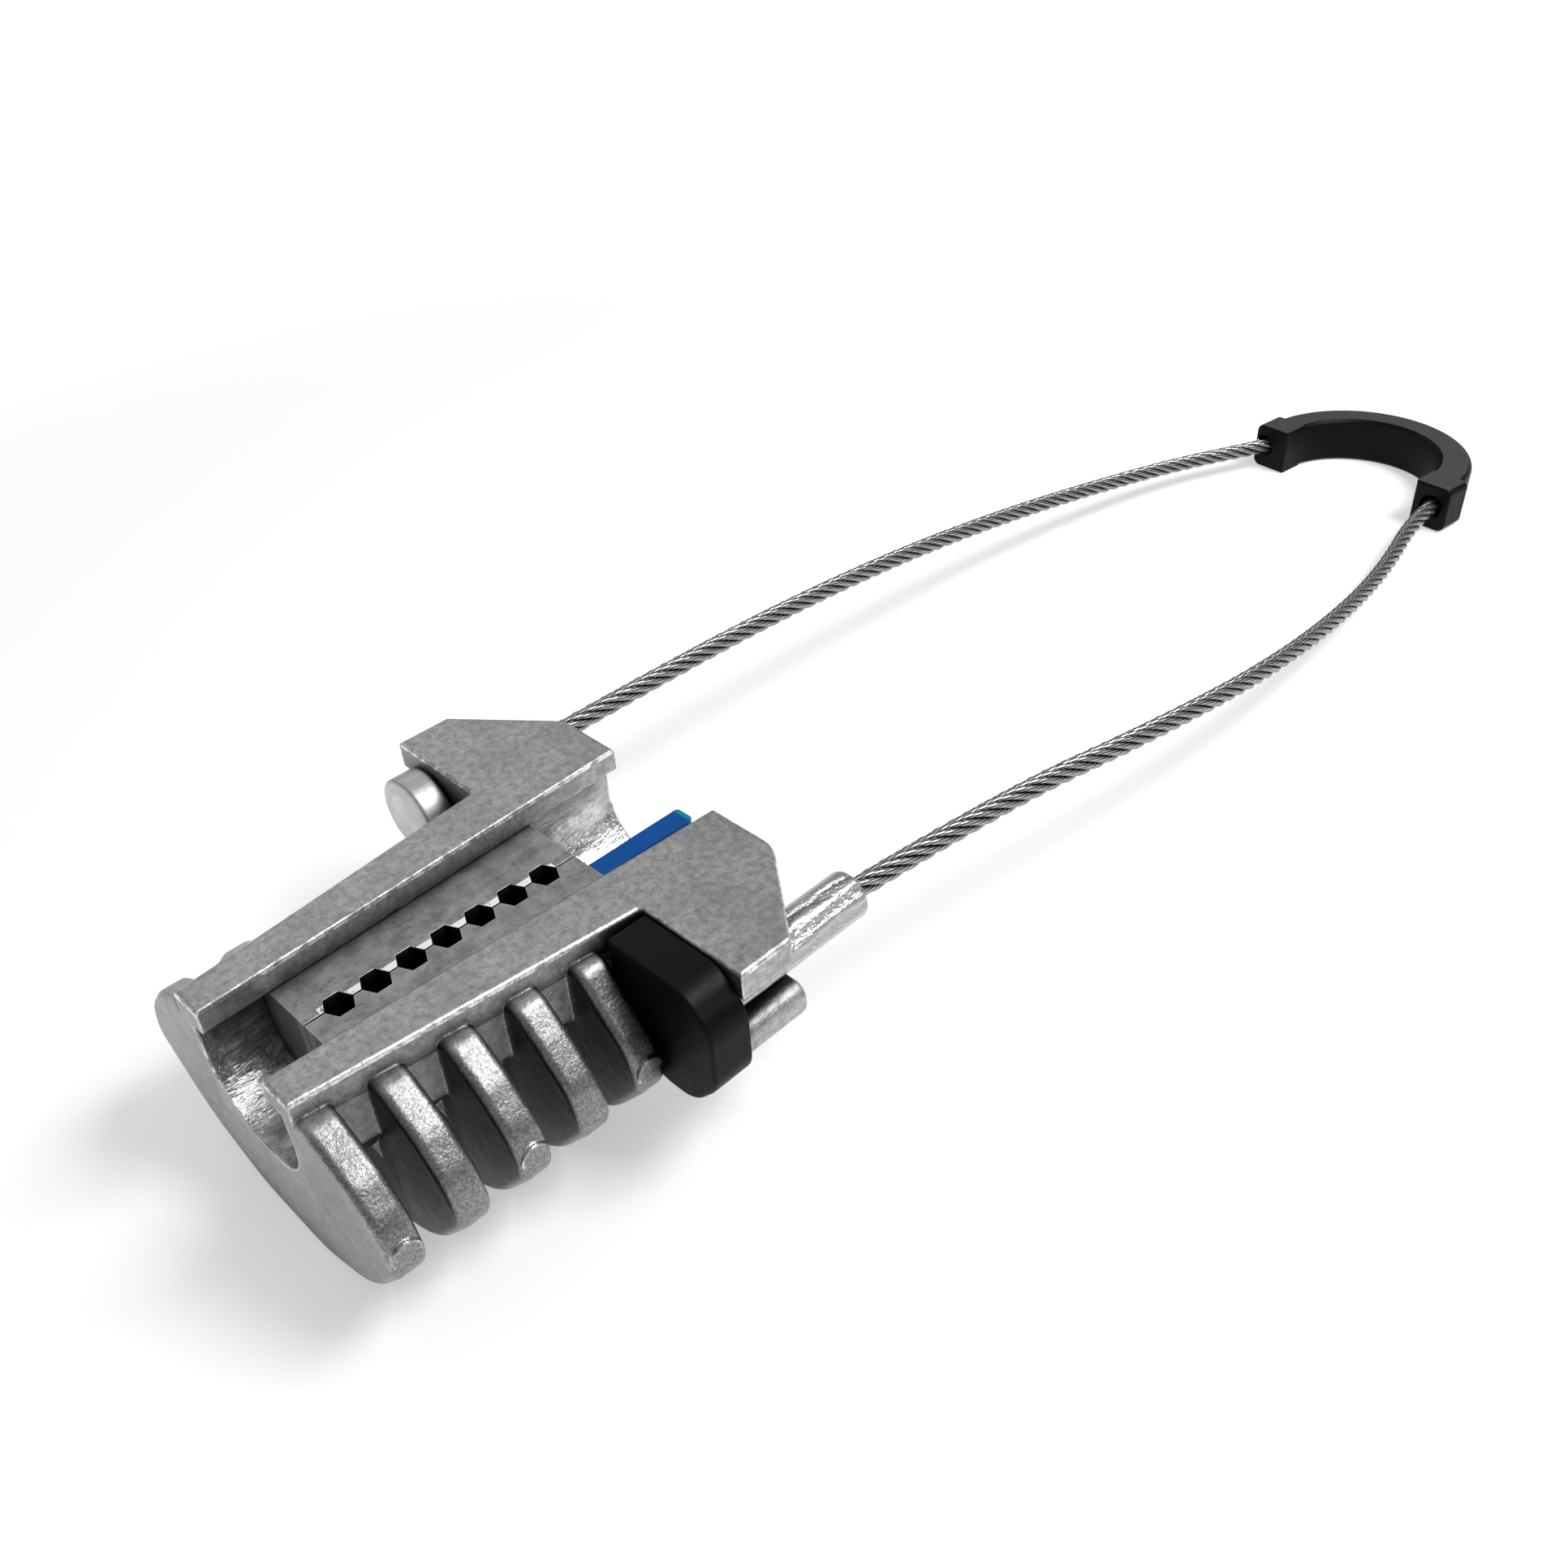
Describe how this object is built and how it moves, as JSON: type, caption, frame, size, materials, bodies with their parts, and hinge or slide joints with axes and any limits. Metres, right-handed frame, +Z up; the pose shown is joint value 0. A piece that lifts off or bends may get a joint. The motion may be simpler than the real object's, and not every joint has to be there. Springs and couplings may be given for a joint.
{
  "type": "wedge_dead_end_clamp",
  "caption": "Aluminium wedge dead-end clamp with a finned tapered body, toothed jaws, a steel rope bail and a black saddle",
  "frame": {"origin": "centre of the footprint of the casting and its ferrules, at floor level", "axes": "+X along the conductor towards the rope bail and saddle, +Y to the left, +Z up"},
  "size_m": [0.4512, 0.116, 0.05],
  "materials": {
    "cast_body": "satin die-cast aluminium, tumbled, bright at worn edges",
    "jaw_alloy": "matte grey cast alloy with bright tooth flanks",
    "blue_plastic": "moulded blue plastic",
    "swaged_steel": "swaged steel with long pressing facets",
    "black_plastic": "moulded black plastic, fine texture",
    "wire_rope": "stranded stainless steel wire rope"
  },
  "bodies": {
    "root": {"clamp_body": "cast_body", "left_ferrule": "swaged_steel", "right_ferrule": "swaged_steel", "bail_rope": "wire_rope", "bail_saddle": "black_plastic"},
    "left_jaw_body": {"left_jaw": "jaw_alloy"},
    "right_jaw_body": {"right_jaw": "jaw_alloy", "jaw_guide_strip": "blue_plastic"},
    "keeper_body": {"ferrule_keeper": "black_plastic"}
  },
  "joints": [
    {"name": "left_jaw_slide", "type": "slide", "parent": "root", "child": "left_jaw_body", "axis": [0.9991, 0.0432, 0], "range_m": [0, 0.02]},
    {"name": "right_jaw_slide", "type": "slide", "parent": "root", "child": "right_jaw_body", "axis": [0.9991, -0.0432, 0], "range_m": [0, 0.02]},
    {"name": "keeper_slide", "type": "slide", "parent": "root", "child": "keeper_body", "axis": [0, -1, 0], "range_m": [0, 0.02]}
  ],
  "couplings": [
    {"joint": "right_jaw_slide", "follows": "left_jaw_slide", "ratio": 1}
  ]
}
